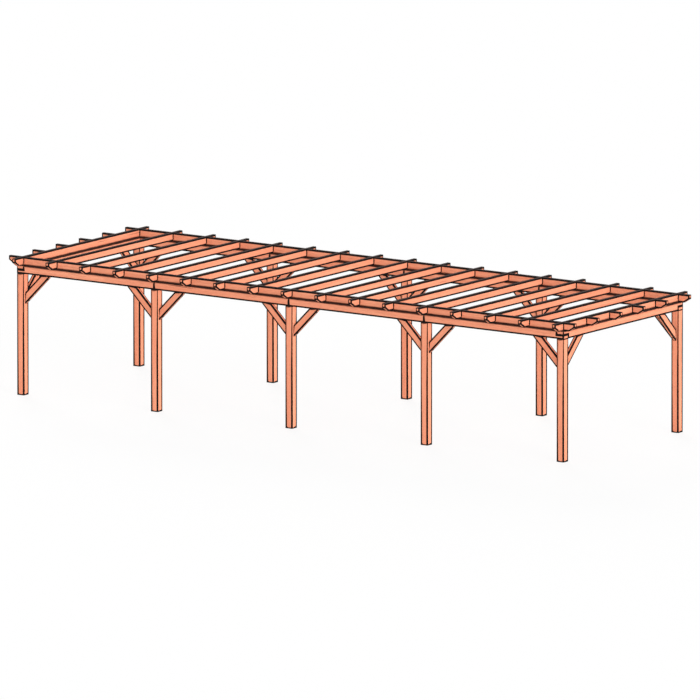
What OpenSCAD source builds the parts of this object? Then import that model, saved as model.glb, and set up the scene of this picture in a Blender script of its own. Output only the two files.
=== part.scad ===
// Open timber patio cover: two rows of posts with knee braces, long beams butted over the inner posts,
// end beams half-lapped at the corners, and a flat roof grid with cut tails on all four sides.
// Millimetres, +Z up. The origin is on the ground under the middle of the roof grid.

/* [Plan] */
// Number of bays along the length
bays = 4; // [2:1:5]
// Spacing of the posts along the length
bay_length = 2743; // [2200:1:3400]
// Spacing of the front and rear post rows
row_spacing = 3353; // [2600:1:4200]

/* [Posts and beams] */
// Height of the posts, from the ground to the underside of the beams
post_height = 2065; // [1900:1:2800]
// Side of the square posts, and width of the beams on them
post_side = 140; // [110:1:180]
// Depth of the beams
beam_depth = 140; // [110:1:220]
// Height of the tongue that a long beam keeps under an end beam
lap_tongue = 70; // [50:1:90]

/* [Roof grid] */
// Thickness of the rafters, blocking and tails
rafter_thickness = 64; // [44:1:90]
// Depth of the rafters, blocking and tails
rafter_depth = 140; // [120:1:190]
// Rafter spaces in one bay
spaces_per_bay = 4; // [2:1:5]
// Spaces between the tails of one short end
end_spaces = 5; // [3:1:7]
// Reach of a tail beyond the rim
tail_length = 229; // [180:1:360]
// Level part of a tail's underside, before the slanting cut
tail_level = 118; // [60:1:150]
// Height of a tail's nose
tail_nose = 70; // [50:1:100]

/* [Knee braces] */
// Thickness of the braces, along the post face
brace_thickness = 64; // [44:1:90]
// Depth of the braces, across their slope
brace_depth = 140; // [90:1:150]
// Length from the inner corner to the sharp outer tip of a brace, along the post or the beam
brace_leg = 518; // [420:1:700]
// Length taken off the sharp tip
toe_cut = 7; // [5:1:30]
// Distance from the seat at which the toe's facet starts
toe_reach = 64; // [40:1:90]

/* [Finish] */
// Width of the chamfer on the long edges of each timber
arris = 4; // [1:0.5:8]

/* [Hidden] */
redwood = "#EE9A78";
brace_slope = 45;
// Reach of a cutter past the timber that it cuts
overrun = 10;

beam_top = post_height + beam_depth;
lap_level = post_height + lap_tongue;
rim_x = (bays * bay_length + rafter_thickness) / 2;
rim_y = (row_spacing + rafter_thickness) / 2;
rafter_spacing = bay_length / spaces_per_bay;
end_spacing = row_spacing / end_spaces;
rafter_count = bays * spaces_per_bay + 1;
front_row = -(row_spacing + post_side) / 2;
rear_row = (row_spacing - post_side) / 2;
left_end = post_right(0) - post_side;
right_end = post_right(bays) - post_side;
inner_leg = brace_leg - brace_depth * sqrt(2);

// Posts and roof timbers share their centre lines, so the roof grid sits in the middle of the beams.
function post_right(k) = (k - bays / 2) * bay_length + post_side / 2;
function rafter_right(i) = rafter_thickness - rim_x + i * rafter_spacing;
function two_digits(i) = str(i < 10 ? "0" : "", i);

// Section of a timber with its four long edges eased
module eased_section(width, depth) {
    polygon([
        [arris, 0],
        [width - arris, 0],
        [width, arris],
        [width, depth - arris],
        [width - arris, depth],
        [arris, depth],
        [0, depth - arris],
        [0, arris]
    ]);
}

// Timber along +X, with its section from the origin to +Y and +Z
module timber(length, width, depth) {
    rotate([90, 0, 90])
        linear_extrude(height = length)
            eased_section(width, depth);
}

// Post k of a row whose front face is at y
module post(k, y) {
    color(redwood)
        translate([post_right(k) - post_side, y, 0])
            linear_extrude(height = post_height)
                eased_section(post_side, post_side);
}

// Space above the tongue of a long beam, where an end beam with its left face at x crosses it
module lap_over_tongue(x, y) {
    translate([x - (x == left_end ? overrun : 0), y - overrun, lap_level])
        cube([post_side + overrun, post_side + 2 * overrun, beam_depth]);
}

// Long beam over bay k, butted over the middle of each inner post and lapped at the ends of the row
module long_beam(k, y) {
    start = k == 0 ? left_end : post_right(k) - post_side / 2;
    end = k == bays - 1 ? right_end + post_side : post_right(k + 1) - post_side / 2;
    color(redwood)
        difference() {
            translate([start, y, post_height])
                timber(end - start, post_side, beam_depth);
            if (k == 0) lap_over_tongue(left_end, y);
            if (k == bays - 1) lap_over_tongue(right_end, y);
        }
}

// Space under an end beam, where the tongue of a long beam with its front face at y passes through
module tongue_under_lap(x, y) {
    translate([x - overrun, y - (y == front_row ? overrun : 0), post_height - overrun])
        cube([post_side + 2 * overrun, post_side + overrun, lap_tongue + overrun]);
}

// End beam with its left face at x, over both rows
module end_beam(x) {
    color(redwood)
        difference() {
            translate([x + post_side, front_row, post_height])
                rotate([0, 0, 90])
                    timber(row_spacing + post_side, post_side, beam_depth);
            tongue_under_lap(x, front_row);
            tongue_under_lap(x, rear_row);
        }
}

// Side outline of a roof timber with a cut tail at its far end, measured from the rim of that end
module tail_outline(behind_rim) {
    polygon([
        [-behind_rim, 0],
        [tail_level, 0],
        [tail_length, rafter_depth - tail_nose],
        [tail_length, rafter_depth],
        [-behind_rim, rafter_depth]
    ]);
}

// Roof timber along +X with its rim at the origin and its section towards +Y and +Z
module tailed_timber(behind_rim) {
    intersection() {
        translate([-behind_rim, 0, 0])
            timber(behind_rim + tail_length, rafter_thickness, rafter_depth);
        translate([0, rafter_thickness, 0])
            rotate([90, 0, 0])
                linear_extrude(height = rafter_thickness)
                    tail_outline(behind_rim);
    }
}

// Rafter i, with a tail past each rim
module rafter(i) {
    color(redwood)
        translate([rafter_right(i), 0, beam_top])
            intersection() {
                translate([0, rim_y, 0])
                    rotate([0, 0, 90])
                        tailed_timber(2 * rim_y + tail_length);
                translate([-rafter_thickness, -rim_y, 0])
                    rotate([0, 0, -90])
                        tailed_timber(2 * rim_y + tail_length);
            }
}

// Blocking between the rafters, with its front face at y
module blocking(y) {
    color(redwood)
        for (i = [0 : rafter_count - 2])
            translate([rafter_right(i), y, beam_top])
                timber(rafter_spacing - rafter_thickness, rafter_thickness, rafter_depth);
}

// Short tails outside the right end rafter
module right_tails() {
    color(redwood)
        for (j = [0 : end_spaces])
            translate([rim_x, j * end_spacing - rim_y, beam_top])
                tailed_timber(0);
}

// Short tails outside the left end rafter
module left_tails() {
    color(redwood)
        for (j = [0 : end_spaces])
            translate([-rim_x, j * end_spacing + rafter_thickness - rim_y, beam_top])
                rotate([0, 0, 180])
                    tailed_timber(0);
}

// Side outline of a knee brace, from the corner between the post and the beam, with both toes blunted
module brace_outline() {
    polygon([
        [0, -inner_leg],
        [inner_leg, 0],
        [brace_leg - toe_cut, 0],
        [brace_leg - toe_reach, -toe_reach],
        [toe_reach, toe_reach - brace_leg],
        [0, toe_cut - brace_leg]
    ]);
}

// Knee brace towards +X and down from the corner at the origin, centred on the plane y = 0
module brace() {
    intersection() {
        translate([0, brace_thickness / 2, 0])
            rotate([90, 0, 0])
                linear_extrude(height = brace_thickness)
                    brace_outline();
        translate([0, -brace_thickness / 2, -brace_leg])
            rotate([0, -brace_slope, 0])
                timber(brace_leg * sqrt(2), brace_thickness, brace_depth);
    }
}

// Braces between the posts and the long beam of a row whose front face is at y
module row_braces(y) {
    color(redwood)
        for (k = [0 : bays - 1])
            translate([0, y + post_side / 2, post_height]) {
                translate([post_right(k), 0, 0])
                    brace();
                translate([post_right(k + 1) - post_side, 0, 0])
                    rotate([0, 0, 180])
                        brace();
            }
}

// Braces between the corner posts and the end beam with its left face at x
module end_braces(x) {
    color(redwood)
        translate([x + post_side / 2, 0, post_height]) {
            translate([0, front_row + post_side, 0])
                rotate([0, 0, 90])
                    brace();
            translate([0, rear_row, 0])
                rotate([0, 0, -90])
                    brace();
        }
}

for (k = [0 : bays]) {
    post(k, front_row);
    post(k, rear_row);
}
for (k = [0 : bays - 1]) {
    long_beam(k, front_row);
    long_beam(k, rear_row);
}
end_beam(left_end);  // left_end_beam
end_beam(right_end);  // right_end_beam
for (i = [0 : rafter_count - 1]) {
    rafter(i);
}
blocking(-rim_y);  // front_blocking
blocking(rim_y - rafter_thickness);  // rear_blocking
left_tails();
right_tails();
row_braces(front_row);  // front_braces
row_braces(rear_row);  // rear_braces
end_braces(left_end);  // left_end_braces
end_braces(right_end);  // right_end_braces
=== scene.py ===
import bmesh
import bpy
import math
import random
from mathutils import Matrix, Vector


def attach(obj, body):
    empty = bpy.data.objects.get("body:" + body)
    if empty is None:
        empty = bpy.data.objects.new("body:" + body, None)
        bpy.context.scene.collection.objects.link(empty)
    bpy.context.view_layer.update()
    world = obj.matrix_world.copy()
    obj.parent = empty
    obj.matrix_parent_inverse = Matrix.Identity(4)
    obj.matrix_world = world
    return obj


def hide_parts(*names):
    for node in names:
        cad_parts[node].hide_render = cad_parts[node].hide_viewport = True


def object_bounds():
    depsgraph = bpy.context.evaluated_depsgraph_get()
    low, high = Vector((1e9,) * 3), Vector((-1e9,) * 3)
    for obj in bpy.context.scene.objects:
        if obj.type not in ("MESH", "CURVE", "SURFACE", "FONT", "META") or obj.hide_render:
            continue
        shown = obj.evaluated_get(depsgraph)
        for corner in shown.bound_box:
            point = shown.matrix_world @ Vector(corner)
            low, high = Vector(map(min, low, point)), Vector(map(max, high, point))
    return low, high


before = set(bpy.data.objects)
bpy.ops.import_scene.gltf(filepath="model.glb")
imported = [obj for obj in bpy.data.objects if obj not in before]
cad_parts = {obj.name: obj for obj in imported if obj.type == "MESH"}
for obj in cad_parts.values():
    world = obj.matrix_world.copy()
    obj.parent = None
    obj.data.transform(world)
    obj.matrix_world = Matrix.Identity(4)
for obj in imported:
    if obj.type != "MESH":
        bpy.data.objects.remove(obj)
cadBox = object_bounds()
scene = bpy.context.scene
scene.view_settings.view_transform = "Standard"
mmPerMetre = 1000
print("frame:", len(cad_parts), "timbers and rows of timbers loaded")


# Shared helpers

def linearColour(hexCode):
    channels = [int(hexCode[i:i + 2], 16) / 255 for i in (1, 3, 5)]
    # The standard sRGB curve, with full alpha
    return [c / 12.92 if c <= 0.04045 else ((c + 0.055) / 1.055) ** 2.4 for c in channels] + [1.0]


def addNode(tree, kind, inputs=None, **settings):
    node = tree.nodes.new(kind)
    for name, value in settings.items():
        setattr(node, name, value)
    for name, value in (inputs or {}).items():
        if isinstance(value, bpy.types.NodeSocket):
            tree.links.new(value, node.inputs[name])
        else:
            node.inputs[name].default_value = value
    return node


# 1 on what the camera sees, also mirrored or through glass, and 0 for light that only falls on things
def seenByCamera(tree):
    path = addNode(tree, "ShaderNodeLightPath").outputs
    seen = path["Is Camera Ray"]
    for ray in ("Is Glossy Ray", "Is Transmission Ray"):
        seen = addNode(tree, "ShaderNodeMath", {0: seen, 1: path[ray]}, operation="MAXIMUM").outputs[0]
    return seen


# Which way is ahead, and which above, for a look at the object from a place round it and up
def lookAlong(around, up):
    azimuth = math.radians(around)
    elevation = math.radians(up)
    level = Vector((-math.sin(azimuth), math.cos(azimuth), 0))
    ahead = level * math.cos(elevation) - Vector((0, 0, math.sin(elevation)))
    above = level * math.sin(elevation) + Vector((0, 0, math.cos(elevation)))
    return ahead, above


def placePiece(name, bm):
    mesh = bpy.data.meshes.new(name)
    bm.to_mesh(mesh)
    bm.free()
    piece = bpy.data.objects.new(name, mesh)
    scene.collection.objects.link(piece)
    return piece


# Camera: the picture is a parallel view, so a very long lens stands far off

viewpoint = {
    "azimuth": 35.0,  # degrees round from the front towards the right end
    "elevation": 10.08,  # degrees above level
    "lens": 1700.0,  # mm
    "sensor": 36.0,  # mm
    "framedWidth": 11.674,  # metres across the picture at the object's middle
    "dropBelowMiddle": 0.099,  # metres from the object's middle down to the picture's
    "slideRight": 0.018,  # metres, likewise to the right
    "nearest": 1.0,  # metres from the camera at which it starts to see
    "farthest": 2.0,  # times its distance at which it stops
}


def aimCamera(view):
    ahead, above = lookAlong(view["azimuth"], view["elevation"])
    right = ahead.cross(above)
    middle = (cadBox[0] + cadBox[1]) / 2
    target = middle - above * view["dropBelowMiddle"] + right * view["slideRight"]
    distance = view["framedWidth"] * view["lens"] / view["sensor"]
    data = bpy.data.cameras.new("pictureCamera")
    data.lens = view["lens"]
    data.sensor_width = view["sensor"]
    data.clip_start = view["nearest"]
    data.clip_end = distance * view["farthest"]
    camera = bpy.data.objects.new("pictureCamera", data)
    camera.location = target - ahead * distance
    camera.rotation_euler = ahead.to_track_quat("-Z", "Y").to_euler()
    scene.collection.objects.link(camera)
    scene.camera = camera
    print("camera:", round(distance, 1), "m away")


aimCamera(viewpoint)


# Redwood, planed and sealed: an even warm salmon with faint long streaks and a fine darker line where each
# year's growth ends, a low sheen, short drying checks, sawn edges gone black, and flat tops painted near
# black as shade.
# The patterns read each timber's own grain coordinates, with x along the grain and the pith at y = z = 0.

redwoodLook = {
    "pale": "#F4A582",
    "deep": "#E68B6A",
    "lateWood": "#CB6B4A",
    "scorch": "#6E3420",
    "check": "#58291B",
    # painted shade, laid on the flat tops
    "topShade": "#2A150E",
    "edge": "#080403",
    # mm along the grain, mm across it, octaves; the fibres are coarser than real ones, to show close up
    "patterns": {
        "drift": (1800, 160, 1),
        "streak": (900, 22, 2),
        "fibre": (120, 2.5, 2),
        "checkSpan": (700, 60, 1),
    },
    "patternRoughness": 0.55,  # share that each finer octave keeps
    "ringSpacing": 11.0,  # mm, wide rings so that they show from afar
    "ringStretch": 0.04,  # how much slower the rings wander along the grain
    "ringWander": 3.5,  # how far the rings stray from round
    "wanderOctaves": 2.0,
    "wanderScale": 0.35,
    "wanderRoughness": 0.5,
    "checksRound": 14,  # radial planes round the pith in which drying checks may open
    "checkWander": 0.02,  # turns round the pith that a check strays along a timber
    "checkOpening": 0.0016,  # turns round the pith from a check's middle to its side
    "checkStart": 0.58,  # level of checkSpan at which a check starts to open
    "checkFull": 0.75,  # level at which it is fully open
    "topShadeStreaks": 0.3,  # how far the streaks vary the painted shade on flat tops
    "fray": 0.3,  # how far the fibres break up the black edges
    # pattern, where it starts and ends to show, its greatest share, colour
    "coats": [
        ("drift", 0.30, 0.70, 0.40, "deep"),
        ("streak", 0.35, 0.65, 0.60, "deep"),
        ("tone", -1.0, 1.0, 0.35, "deep"),
        ("ring", 0.65, 1.00, 0.36, "lateWood"),
        ("fibre", 0.45, 0.75, 0.16, "lateWood"),
        ("endCut", 0.0, 1.0, 0.18, "lateWood"),
        ("check", 0.0, 1.0, 0.85, "check"),
        # painted shade: faces turned up go near black, flat tops most
        ("shadedTop", 0.95, 1.10, 0.96, "topShade"),
        ("frayed", 0.14, 0.30, 0.70, "scorch"),
        ("frayed", 0.26, 0.36, 1.00, "edge"),
    ],
    "smoothest": 0.60,  # roughness in the palest streaks
    "roughest": 0.80,  # roughness in the deepest ones
    "palestStreak": 0.3,
    "deepestStreak": 0.7,
    "weatheredRoughness": 1.0,
    "ior": 1.5,
    "specular": 0.2,  # a low sheen
    "ringRelief": 0.5,  # height of a ring against a fibre's
    "reliefDepth": 0.4,  # mm
    "reliefStrength": 0.5,
}
waveSpacing = math.pi / 10  # metres between the rings of Blender's wave at scale 1


# Checks open along planes that run out from the pith, as wide as a noise lets them
def openChecks(tree, look, grain, shown):
    axes = addNode(tree, "ShaderNodeSeparateXYZ", {"Vector": grain}).outputs
    endOn = addNode(tree, "ShaderNodeCombineXYZ", {"X": axes["Y"], "Y": axes["Z"]}).outputs["Vector"]
    bearing = addNode(
        tree, "ShaderNodeTexGradient", {"Vector": endOn}, gradient_type="RADIAL"
    ).outputs["Fac"]
    strayed = addNode(
        tree,
        "ShaderNodeMath",
        {0: shown["drift"], 1: look["checkWander"], 2: bearing},
        operation="MULTIPLY_ADD",
    ).outputs[0]
    halfSpacing = 1 / (2 * look["checksRound"])
    offPlane = addNode(
        tree, "ShaderNodeMath", {0: strayed, 1: halfSpacing}, operation="PINGPONG"
    ).outputs[0]
    opened = addNode(
        tree,
        "ShaderNodeMapRange",
        {
            "Value": shown["checkSpan"],
            "From Min": look["checkStart"],
            "From Max": look["checkFull"],
            "To Max": look["checkOpening"],
        },
    ).outputs["Result"]
    return addNode(tree, "ShaderNodeMath", {0: offPlane, 1: opened}, operation="LESS_THAN").outputs[0]


def growPatterns(tree, look):
    grain = addNode(tree, "ShaderNodeAttribute", attribute_name="grain").outputs["Vector"]
    shown = {}
    for name in ("tone", "arris", "endCut", "upward"):
        shown[name] = addNode(tree, "ShaderNodeAttribute", attribute_name=name).outputs["Fac"]

    for name, (along, across, octaves) in look["patterns"].items():
        perMetre = (mmPerMetre / along, mmPerMetre / across, mmPerMetre / across)
        place = addNode(tree, "ShaderNodeMapping", {"Vector": grain, "Scale": perMetre}).outputs["Vector"]
        shown[name] = addNode(
            tree,
            "ShaderNodeTexNoise",
            {"Vector": place, "Scale": 1.0, "Detail": octaves, "Roughness": look["patternRoughness"]},
        ).outputs["Fac"]

    slowed = addNode(tree, "ShaderNodeMapping", {"Vector": grain, "Scale": (look["ringStretch"], 1, 1)})
    shown["ring"] = addNode(
        tree,
        "ShaderNodeTexWave",
        {
            "Vector": slowed.outputs["Vector"],
            "Scale": waveSpacing * mmPerMetre / look["ringSpacing"],
            "Distortion": look["ringWander"],
            "Detail": look["wanderOctaves"],
            "Detail Scale": look["wanderScale"],
            "Detail Roughness": look["wanderRoughness"],
        },
        wave_type="RINGS",
        rings_direction="X",
        wave_profile="SAW",
    ).outputs["Fac"]

    shown["check"] = openChecks(tree, look, grain, shown)
    # Painted shade: a share that grows on faces turned up, so flat tops go dark, varied by the streaks
    shown["shadedTop"] = addNode(
        tree,
        "ShaderNodeMath",
        {0: shown["streak"], 1: look["topShadeStreaks"], 2: shown["upward"]},
        operation="MULTIPLY_ADD",
    ).outputs[0]
    shown["frayed"] = addNode(
        tree,
        "ShaderNodeMath",
        {0: shown["fibre"], 1: look["fray"], 2: shown["arris"]},
        operation="MULTIPLY_ADD",
    ).outputs[0]
    return shown


def layCoats(tree, look, shown):
    # Sockets 6 and 7 of a colour mix are its two colours, and output 2 is the result
    colour = linearColour(look["pale"])
    shares = {}
    for name, start, end, most, tint in look["coats"]:
        shares[name] = addNode(
            tree,
            "ShaderNodeMapRange",
            {"Value": shown[name], "From Min": start, "From Max": end, "To Max": most},
        ).outputs["Result"]
        colour = addNode(
            tree,
            "ShaderNodeMix",
            {"Factor": shares[name], 6: colour, 7: linearColour(look[tint])},
            data_type="RGBA",
        ).outputs[2]
    return colour, shares


def redwoodMaterial(look):
    material = bpy.data.materials.new("redwoodPlanedSealed")
    material.use_nodes = True
    tree = material.node_tree
    tree.nodes.clear()
    shown = growPatterns(tree, look)
    colour, shares = layCoats(tree, look, shown)

    fibres = addNode(
        tree,
        "ShaderNodeMath",
        {0: shown["ring"], 1: look["ringRelief"], 2: shown["fibre"]},
        operation="MULTIPLY_ADD",
    ).outputs[0]
    relief = addNode(
        tree, "ShaderNodeMath", {0: fibres, 1: shown["check"]}, operation="SUBTRACT"
    ).outputs[0]
    depth = look["reliefDepth"] / mmPerMetre
    bump = addNode(
        tree, "ShaderNodeBump", {"Height": relief, "Strength": look["reliefStrength"], "Distance": depth}
    ).outputs["Normal"]

    planed = addNode(
        tree,
        "ShaderNodeMapRange",
        {
            "Value": shown["streak"],
            "From Min": look["palestStreak"],
            "From Max": look["deepestStreak"],
            "To Min": look["smoothest"],
            "To Max": look["roughest"],
        },
    ).outputs["Result"]
    # The tops painted with shade and the black edges are also made fully rough
    dulled = addNode(
        tree, "ShaderNodeMath", {0: shares["shadedTop"], 1: shares["frayed"]}, operation="MAXIMUM"
    ).outputs[0]
    roughness = addNode(
        tree,
        "ShaderNodeMapRange",
        {"Value": dulled, "To Min": planed, "To Max": look["weatheredRoughness"]},
    ).outputs["Result"]

    shader = addNode(
        tree,
        "ShaderNodeBsdfPrincipled",
        {
            "Base Color": colour,
            "Roughness": roughness,
            "Normal": bump,
            "IOR": look["ior"],
            "Specular IOR Level": look["specular"],
        },
    )
    addNode(tree, "ShaderNodeOutputMaterial", {"Surface": shader.outputs["BSDF"]})
    print("redwood:", len(look["coats"]), "coats laid")
    return material


# Timbers: every packed timber is copied, its edges are rounded and blackened, and its grain is set along
# its longest edge

dressing = {
    "mergeGap": 0.00002,  # metres
    "flatWithin": 1.0,  # degrees
    "sharpFrom": 20.0,  # degrees, edges that turn by more are rounded
    "edgeRadius": 0.0015,  # metres
    "edgeSegments": 2,
    "blackBand": 0.026,  # metres beside each edge
    "postBand": 0.034,  # metres, on the posts
    "leeFade": -0.65,  # the black at a band's inner side on the posts' lee corners: below 0 it ends sooner
    "slimBand": 0.021,  # metres, on the smaller faces
    "slimFace": 0.100,  # metres, faces up to this width are the smaller ones
    "narrowFace": 0.045,  # metres, faces up to this width are black all over
    "braceSideShare": 0.75,  # share of the slim width that the narrow sides of the braces have
    "edgeDrop": 0.006,  # metres, how far from its top or underside a timber's edges reach
    "sheltered": 0.25,  # share of the black that edges at a bearing have
    "uprightBelow": 0.1,  # sine of a lean, under which a timber is upright
    "pithNear": 0.05,  # metres from the timber's middle
    "pithFar": 0.16,
    "grainShift": 20.0,  # metres along the grain, so that no two timbers match
    "toneSpread": 0.5,
    "seed": 11,
}
draw = random.Random(dressing["seed"])
nodeNames = sorted(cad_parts)
rafters = [name for name in nodeNames if name.startswith("rafter_")]
endRafters = (rafters[0], rafters[-1])


def copyMerged(node):
    bm = bmesh.new()
    bm.from_mesh(node.data)
    bmesh.ops.remove_doubles(bm, verts=bm.verts, dist=dressing["mergeGap"])
    bmesh.ops.dissolve_limit(
        bm, angle_limit=math.radians(dressing["flatWithin"]), verts=bm.verts, edges=bm.edges
    )
    return bm


def easeEdges(bm):
    sharp = math.radians(dressing["sharpFrom"])
    corners = [e for e in bm.edges if e.is_convex and e.calc_face_angle(0) > sharp]
    bmesh.ops.bevel(
        bm,
        geom=corners,
        offset=dressing["edgeRadius"],
        segments=dressing["edgeSegments"],
        profile=0.5,
        affect="EDGES",
        material=-1,
        clamp_overlap=True,
    )


# The wider faces get a rim, in which the arris layer goes from black at the timber's edges to none, and the
# narrow ones stay black all over
def markBlackEdges(bm, name):
    upright = "_post_" in name
    seated = name.endswith("blocking") or name in endRafters
    wideBand = dressing["postBand"] if upright else dressing["blackBand"]
    slimShare = dressing["braceSideShare"] if name.endswith("braces") else 1.0
    slimBand = dressing["slimBand"] * slimShare
    wide, slim = [], []
    for face in bm.faces:
        width = face.calc_area() / max(e.calc_length() for e in face.edges)
        if width > dressing["slimFace"]:
            wide.append(face)
        elif width > dressing["narrowFace"]:
            slim.append(face)
    bmesh.ops.inset_individual(bm, faces=wide, thickness=wideBand, use_even_offset=True)
    bmesh.ops.inset_individual(bm, faces=slim, thickness=slimBand, use_even_offset=True)

    # Edges at a bearing, on top of a timber that carries others or under one on a beam, stay paler
    arris = bm.verts.layers.float.new("arris")
    top = max(v.co.z for v in bm.verts)
    bottom = min(v.co.z for v in bm.verts)
    carries = top < cadBox[1].z - dressing["edgeDrop"]
    for vert in bm.verts:
        covered = carries and vert.co.z > top - dressing["edgeDrop"]
        resting = seated and vert.co.z < bottom + dressing["edgeDrop"]
        vert[arris] = dressing["sheltered"] if covered or resting else 1.0

    # A post's lee corners are the front right and the rear left one
    middle = sum((v.co for v in bm.verts), Vector()) / len(bm.verts)
    turned = []
    for face in wide + slim:
        for loop in face.loops:
            aside = loop.vert.co - middle
            lee = upright and aside.x * aside.y < 0
            loop.vert[arris] = dressing["leeFade"] if lee else 0.0
            outer = loop.link_loop_radial_next.link_loop_next.link_loop_next
            inside = loop.link_loop_next.vert.co - loop.vert.co
            outside = outer.link_loop_next.vert.co - outer.vert.co
            if inside.dot(outside) <= 0:
                turned.append(loop.edge)
    # The short sides of an eased end cut turn round in a deep inset, so each closes to one corner
    bmesh.ops.collapse(bm, edges=turned)


# Closing corners leaves the faces in another order in each run, and the draws for the grain follow that
# order, so the faces are sorted by their corners
def sortFaces(bm):
    bm.verts.index_update()
    count = len(bm.verts)

    def rank(face):
        first, second, third = sorted(v.index for v in face.verts)[:3]
        return (first * count + second) * count + third

    bm.faces.sort(key=rank)


def separateTimbers(bm):
    timbers = []
    seen = set()
    for first in bm.faces:
        if first in seen:
            continue
        seen.add(first)
        timber = [first]
        for face in timber:
            for edge in face.edges:
                for other in edge.link_faces:
                    if other not in seen:
                        seen.add(other)
                        timber.append(other)
        timbers.append(timber)
    return timbers


def setGrain(bm):
    grain = bm.verts.layers.float_vector.new("grain")
    tone = bm.verts.layers.float.new("tone")
    endCut = bm.faces.layers.float.new("endCut")
    upward = bm.faces.layers.float.new("upward")
    timbers = separateTimbers(bm)
    for timber in timbers:
        edges = [e for face in timber for e in face.edges]
        longest = max(edges, key=lambda e: e.calc_length())
        along = (longest.verts[1].co - longest.verts[0].co).normalized()
        across = along.cross(Vector((0, 0, 1)))
        if across.length > dressing["uprightBelow"]:
            across.normalize()
        else:
            across = Vector((1, 0, 0))
        through = along.cross(across)
        verts = list(dict.fromkeys(v for face in timber for v in face.verts))
        middle = sum((v.co for v in verts), Vector()) / len(verts)
        turn = draw.uniform(0, 2 * math.pi)
        pith = draw.uniform(dressing["pithNear"], dressing["pithFar"])
        shift = draw.uniform(-dressing["grainShift"], dressing["grainShift"])
        shade = max(-1.0, min(1.0, draw.gauss(0, dressing["toneSpread"])))
        for vert in verts:
            offset = vert.co - middle
            vert[grain] = Vector((
                offset.dot(along) + shift,
                offset.dot(across) + pith * math.cos(turn),
                offset.dot(through) + pith * math.sin(turn),
            ))
            vert[tone] = shade
        for face in timber:
            face[endCut] = abs(face.normal.dot(along))
            # How far a face turns up, which the material paints as shade on tops
            face[upward] = max(0.0, face.normal.z)
    return len(timbers)


def dressTimbers():
    redwood = redwoodMaterial(redwoodLook)
    count = 0
    for name in nodeNames:
        bm = copyMerged(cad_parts[name])
        easeEdges(bm)
        markBlackEdges(bm, name)
        sortFaces(bm)
        count += setGrain(bm)
        piece = placePiece(name + "_timber", bm)
        piece.data.materials.append(redwood)
        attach(piece, "root")
        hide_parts(name)
    print("timbers:", count, "dressed in", len(nodeNames), "pieces")


dressTimbers()


# Stage: a pale floor that is white in the picture and keeps a soft shadow, under soft daylight

daylight = {
    # name, degrees round from the front towards the right end, degrees up, level on a face turned to the
    # lamp, whether it casts a shadow
    "lamps": [
        ("softSun", 66.0, 21.0, 0.18, True),
        ("flatSun", 66.0, 21.0, 0.74, False),
        ("softFill", 225.0, 20.0, 0.50, True),
    ],
    "lampSpread": 28.0,  # degrees, wide soft sources
    "skyRim": 0.76,
    "skyTop": 0.38,
    "seenWhite": 1.0,  # level of the room and floor to the camera, 1 being white
    "floorHalf": 90.0,  # metres
    "floorColour": "#FEFEFE",
    "floorRoughness": 0.9,
    "floorWhiteShare": 0.80,  # the rest of what is seen is the floor's own paint, with the shadow
}
plainWhite = (1, 1, 1, 1)


def lightScene(light):
    for name, around, up, level, shadow in light["lamps"]:
        data = bpy.data.lights.new(name, "SUN")
        data.energy = level * math.pi  # a sun of pi shows a colour as it is written
        data.angle = math.radians(light["lampSpread"])
        data.use_shadow = shadow
        lamp = bpy.data.objects.new(name, data)
        lamp.rotation_euler = lookAlong(around, up)[0].to_track_quat("-Z", "Y").to_euler()
        scene.collection.objects.link(lamp)

    world = bpy.data.worlds.new("paleRoom")
    scene.world = world
    world.use_nodes = True
    tree = world.node_tree
    tree.nodes.clear()
    direction = addNode(tree, "ShaderNodeTexCoord").outputs["Generated"]
    height = addNode(tree, "ShaderNodeSeparateXYZ", {"Vector": direction}).outputs["Z"]
    glow = addNode(
        tree,
        "ShaderNodeMapRange",
        {"Value": height, "To Min": light["skyRim"], "To Max": light["skyTop"]},
    ).outputs["Result"]
    strength = addNode(
        tree,
        "ShaderNodeMapRange",
        {"Value": seenByCamera(tree), "To Min": glow, "To Max": light["seenWhite"]},
    ).outputs["Result"]
    background = addNode(tree, "ShaderNodeBackground", {"Color": plainWhite, "Strength": strength})
    addNode(tree, "ShaderNodeOutputWorld", {"Surface": background.outputs["Background"]})
    print("light:", len(light["lamps"]), "soft lamps in a pale room")


def layFloor(light):
    bm = bmesh.new()
    bmesh.ops.create_grid(bm, x_segments=1, y_segments=1, size=light["floorHalf"])
    floor = placePiece("paleFloor", bm)
    material = bpy.data.materials.new("paleFloorPaint")
    material.use_nodes = True
    tree = material.node_tree
    tree.nodes.clear()
    paint = addNode(
        tree,
        "ShaderNodeBsdfPrincipled",
        {
            "Base Color": linearColour(light["floorColour"]),
            "Roughness": light["floorRoughness"],
            "Specular IOR Level": 0.0,
        },
    ).outputs["BSDF"]
    white = addNode(
        tree, "ShaderNodeEmission", {"Color": plainWhite, "Strength": light["seenWhite"]}
    ).outputs["Emission"]
    share = addNode(
        tree, "ShaderNodeMath", {0: seenByCamera(tree), 1: light["floorWhiteShare"]}, operation="MULTIPLY"
    ).outputs[0]
    mixed = addNode(tree, "ShaderNodeMixShader", {0: share, 1: paint, 2: white}).outputs["Shader"]
    addNode(tree, "ShaderNodeOutputMaterial", {"Surface": mixed})
    floor.data.materials.append(material)
    print("floor: laid")


lightScene(daylight)
layFloor(daylight)
